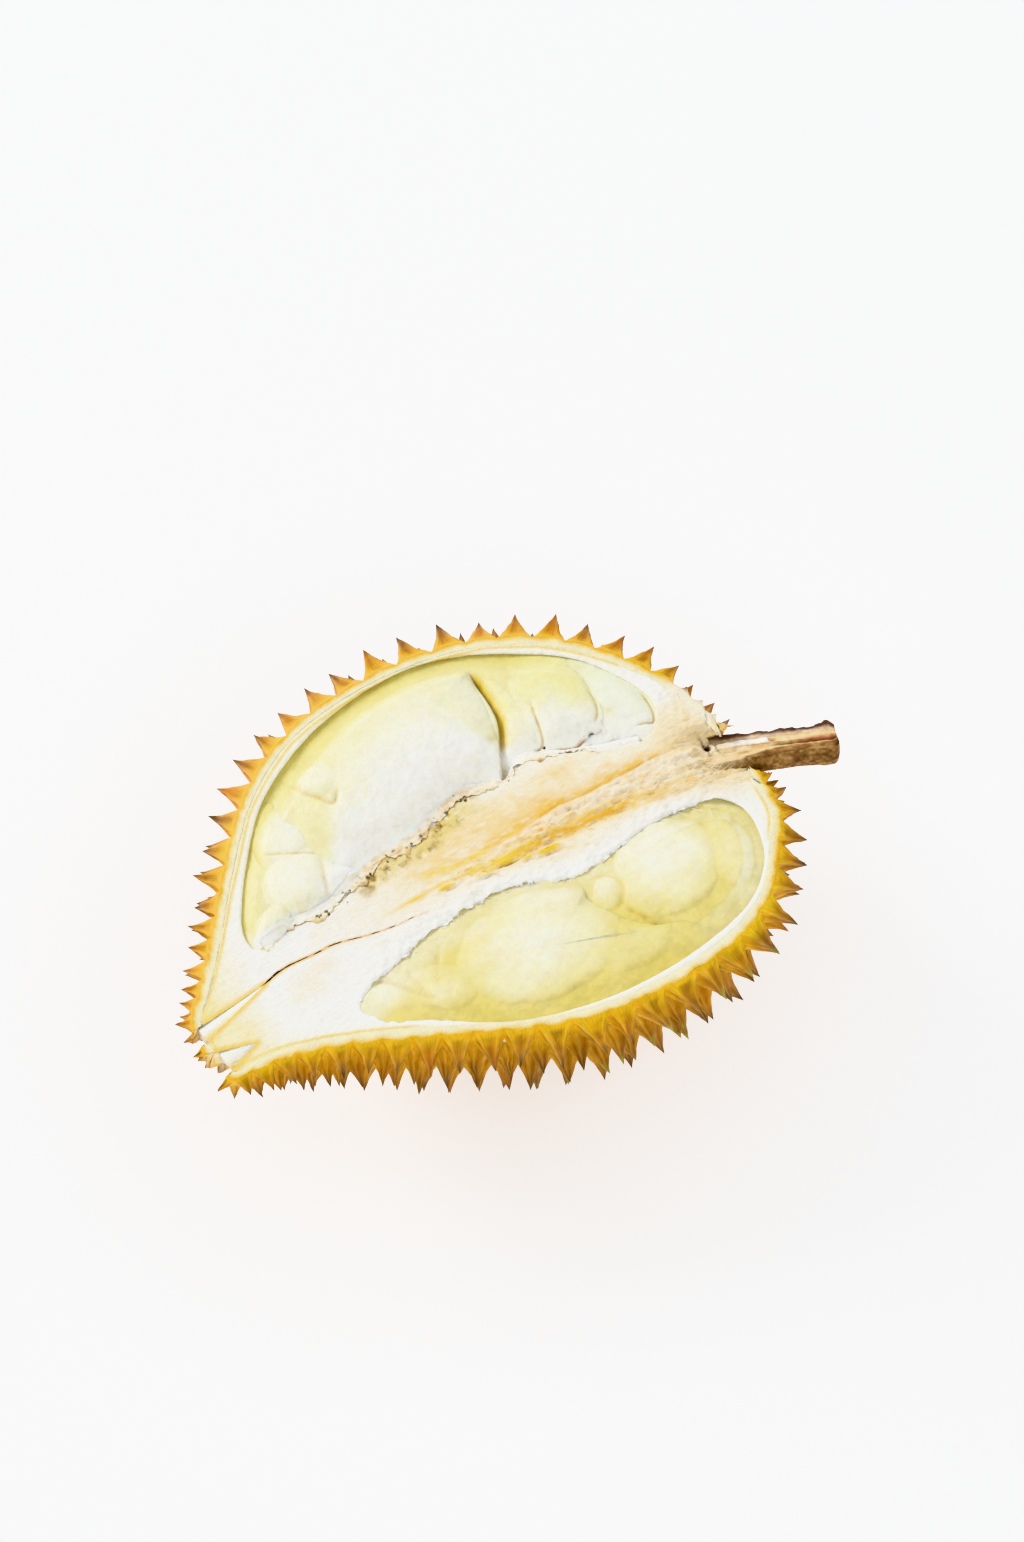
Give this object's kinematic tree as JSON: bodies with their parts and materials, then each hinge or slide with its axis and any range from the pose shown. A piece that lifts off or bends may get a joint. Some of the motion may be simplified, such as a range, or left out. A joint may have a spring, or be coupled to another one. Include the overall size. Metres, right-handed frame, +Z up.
{
  "type": "durian half",
  "caption": "Half of a spiny golden durian cut lengthwise, lying on its back with the cut face up, showing pale pith, plump pods of flesh and a split woody stem.",
  "frame": {"origin": "centre of the bounding box in plan, at the level of the surface the fruit half rests on", "axes": "+X along the fruit from its blossom end towards its stem, +Z up out of the cut face, +Y across the cut face towards its wider side"},
  "size_m": [0.2816, 0.2028, 0.1038],
  "materials": {
    "spiny_skin": "hard, fibrous golden-yellow skin with tapering spines, tips darkened to brown",
    "pale_pith": "matt, spongy white pith with a peach, fibrous core",
    "bark": "rough brown bark, pale wood where it is split",
    "ripe_flesh": "soft, smooth and waxy pale-yellow flesh"
  },
  "bodies": {
    "root": {"rind": "spiny_skin", "pith": "pale_pith", "stem": "bark", "pod_upper_large": "ripe_flesh", "pod_upper_right": "ripe_flesh", "pod_upper_stem": "ripe_flesh", "pod_upper_tip": "ripe_flesh", "pod_lower_large": "ripe_flesh", "pod_lower_right": "ripe_flesh"}
  },
  "joints": []
}
